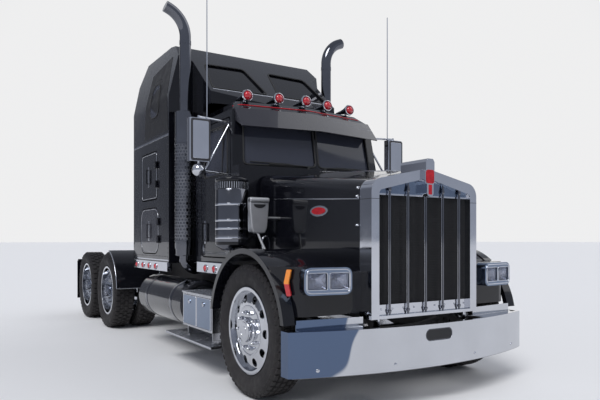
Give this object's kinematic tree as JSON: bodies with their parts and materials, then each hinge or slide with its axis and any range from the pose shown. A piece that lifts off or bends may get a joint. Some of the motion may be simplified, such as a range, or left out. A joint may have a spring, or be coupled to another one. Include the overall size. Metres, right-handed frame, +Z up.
{
  "type": "semi truck tractor unit",
  "caption": "Long-nosed highway tractor unit with a tall radiator shell, tilting hood, raised-roof sleeper, twin stacks, fifth wheel and twin-tyred drive axles.",
  "frame": {"origin": "on the ground under the middle of the truck", "axes": "+Z up, -Y is the way the truck faces, +X is the truck's own left side"},
  "size_m": [2.58, 7.56, 3.8375],
  "materials": {
    "black_paint": "deep gloss near-black enamel",
    "grey_paint": "gloss dark grey enamel",
    "chassis_paint": "satin black chassis paint",
    "bright": "polished chrome plate",
    "polished_aluminium": "mirror-polished forged aluminium",
    "black_screen": "satin black screen",
    "steel": "bare greased steel",
    "iron": "painted cast iron",
    "dark_glass": "dark tinted glass",
    "clear_lens": "clear moulded lens",
    "red_lens": "red translucent lens",
    "amber_lens": "amber over red lens",
    "tyre": "matt black rubber",
    "rubber": "matt black rubber sheet",
    "seat_cloth": "dark woven upholstery",
    "trim": "dark grained trim"
  },
  "bodies": {
    "chassis": {"frame": "chassis_paint", "engine": "iron", "radiator": "black_screen", "drive_shafts": "steel", "front_axle": "iron", "drive_axles": "iron", "suspension": "chassis_paint", "bumper": "bright", "side_lamp_panels": "bright", "air_cleaners": "polished_aluminium", "exhaust_stacks": "bright", "fuel_tanks": "grey_paint", "step_boxes": "polished_aluminium", "rear_guards": "rubber", "deck_plate": "polished_aluminium", "fifth_wheel_base": "steel", "cab_shell": "black_paint", "windows": "dark_glass", "visor": "grey_paint", "roof_lamps": "bright", "marker_lenses": "red_lens", "sleeper_shell": "black_paint", "seats_and_bunk": "seat_cloth", "cab_furniture": "trim"},
    "tilt_hood": {"hood": "black_paint", "radiator_shell": "bright", "grille": "black_screen", "fenders": "black_paint", "headlamps": "bright", "headlamp_glass": "clear_lens", "turn_lamps": "amber_lens", "hood_mirrors": "bright"},
    "fifth_wheel": {"fifth_wheel_plate": "steel"},
    "steering": {"steering_wheel": "trim"},
    "tie_bar": {"tie_rod": "iron"},
    "cab_door_left": {"door_left": "black_paint", "door_glass_left": "dark_glass", "side_mirror_left": "bright"},
    "vent_door_panel_left": {"vent_door_left": "black_paint"},
    "luggage_door_panel_left": {"luggage_door_left": "grey_paint"},
    "steer_knuckle_left": {"knuckle_left": "iron"},
    "front_roller_left": {"front_tyre_left": "tyre", "front_wheel_left": "polished_aluminium"},
    "cab_door_right": {"door_right": "black_paint", "door_glass_right": "dark_glass", "side_mirror_right": "bright"},
    "vent_door_panel_right": {"vent_door_right": "black_paint"},
    "luggage_door_panel_right": {"luggage_door_right": "grey_paint"},
    "steer_knuckle_right": {"knuckle_right": "iron"},
    "front_roller_right": {"front_tyre_right": "tyre", "front_wheel_right": "polished_aluminium"},
    "drive_roller_1_left": {"drive_tyres_1_left": "tyre", "drive_wheels_1_left": "polished_aluminium"},
    "drive_roller_2_left": {"drive_tyres_2_left": "tyre", "drive_wheels_2_left": "polished_aluminium"},
    "drive_roller_1_right": {"drive_tyres_1_right": "tyre", "drive_wheels_1_right": "polished_aluminium"},
    "drive_roller_2_right": {"drive_tyres_2_right": "tyre", "drive_wheels_2_right": "polished_aluminium"}
  },
  "joints": [
    {"name": "hood_tilt", "type": "hinge", "parent": "chassis", "child": "tilt_hood", "pos_m": [0, -3.71, 0.52], "axis": [1, 0, 0], "range_deg": [0, 70]},
    {"name": "door_left_swing", "type": "hinge", "parent": "chassis", "child": "cab_door_left", "pos_m": [0.897, -1.9, 1.5], "axis": [0, 0, -1], "range_deg": [0, 70]},
    {"name": "vent_door_left_swing", "type": "hinge", "parent": "chassis", "child": "vent_door_panel_left", "pos_m": [1.047, -0.165, 2], "axis": [0, 0, -1], "range_deg": [0, 90]},
    {"name": "luggage_door_left_swing", "type": "hinge", "parent": "chassis", "child": "luggage_door_panel_left", "pos_m": [1.047, -0.225, 1.36], "axis": [0, 0, -1], "range_deg": [0, 90]},
    {"name": "door_right_swing", "type": "hinge", "parent": "chassis", "child": "cab_door_right", "pos_m": [-0.897, -1.9, 1.5], "axis": [0, 0, 1], "range_deg": [0, 70]},
    {"name": "vent_door_right_swing", "type": "hinge", "parent": "chassis", "child": "vent_door_panel_right", "pos_m": [-1.047, -0.165, 2], "axis": [0, 0, 1], "range_deg": [0, 90]},
    {"name": "luggage_door_right_swing", "type": "hinge", "parent": "chassis", "child": "luggage_door_panel_right", "pos_m": [-1.047, -0.225, 1.36], "axis": [0, 0, 1], "range_deg": [0, 90]},
    {"name": "steer_right", "type": "hinge", "parent": "chassis", "child": "steer_knuckle_right", "pos_m": [-0.9, -2.86, 0.525], "axis": [0, 0, 1], "range_deg": [-35, 35]},
    {"name": "steer_left", "type": "hinge", "parent": "chassis", "child": "steer_knuckle_left", "pos_m": [0.9, -2.86, 0.525], "axis": [0, 0, 1], "range_deg": [-35, 35]},
    {"name": "front_wheel_left_spin", "type": "hinge", "parent": "steer_knuckle_left", "child": "front_roller_left", "pos_m": [1.065, -2.86, 0.525], "axis": [1, 0, 0], "continuous": true},
    {"name": "drive_wheels_1_left_spin", "type": "hinge", "parent": "chassis", "child": "drive_roller_1_left", "pos_m": [0.9025, 1.59, 0.525], "axis": [1, 0, 0], "continuous": true},
    {"name": "drive_wheels_2_left_spin", "type": "hinge", "parent": "chassis", "child": "drive_roller_2_left", "pos_m": [0.9025, 2.91, 0.525], "axis": [1, 0, 0], "continuous": true},
    {"name": "front_wheel_right_spin", "type": "hinge", "parent": "steer_knuckle_right", "child": "front_roller_right", "pos_m": [-1.065, -2.86, 0.525], "axis": [1, 0, 0], "continuous": true},
    {"name": "drive_wheels_1_right_spin", "type": "hinge", "parent": "chassis", "child": "drive_roller_1_right", "pos_m": [-0.9025, 1.59, 0.525], "axis": [1, 0, 0], "continuous": true},
    {"name": "drive_wheels_2_right_spin", "type": "hinge", "parent": "chassis", "child": "drive_roller_2_right", "pos_m": [-0.9025, 2.91, 0.525], "axis": [1, 0, 0], "continuous": true},
    {"name": "tie_rod_pivot", "type": "hinge", "parent": "steer_knuckle_right", "child": "tie_bar", "pos_m": [-0.9, -2.64, 0.405], "axis": [0, 0, 1], "range_deg": [-35, 35]},
    {"name": "steering_wheel_turn", "type": "hinge", "parent": "chassis", "child": "steering", "pos_m": [0.48, -1.71, 1.765], "axis": [0, 0.5736, 0.8192], "range_deg": [-630, 630]},
    {"name": "fifth_wheel_rock", "type": "hinge", "parent": "chassis", "child": "fifth_wheel", "pos_m": [0, 2.19, 1.085], "axis": [1, 0, 0], "range_deg": [-12, 12]}
  ],
  "couplings": [
    {"joint": "steer_left", "follows": "steer_right", "ratio": 1},
    {"joint": "tie_rod_pivot", "follows": "steer_right", "ratio": -1},
    {"joint": "steering_wheel_turn", "follows": "steer_right", "ratio": 18}
  ]
}
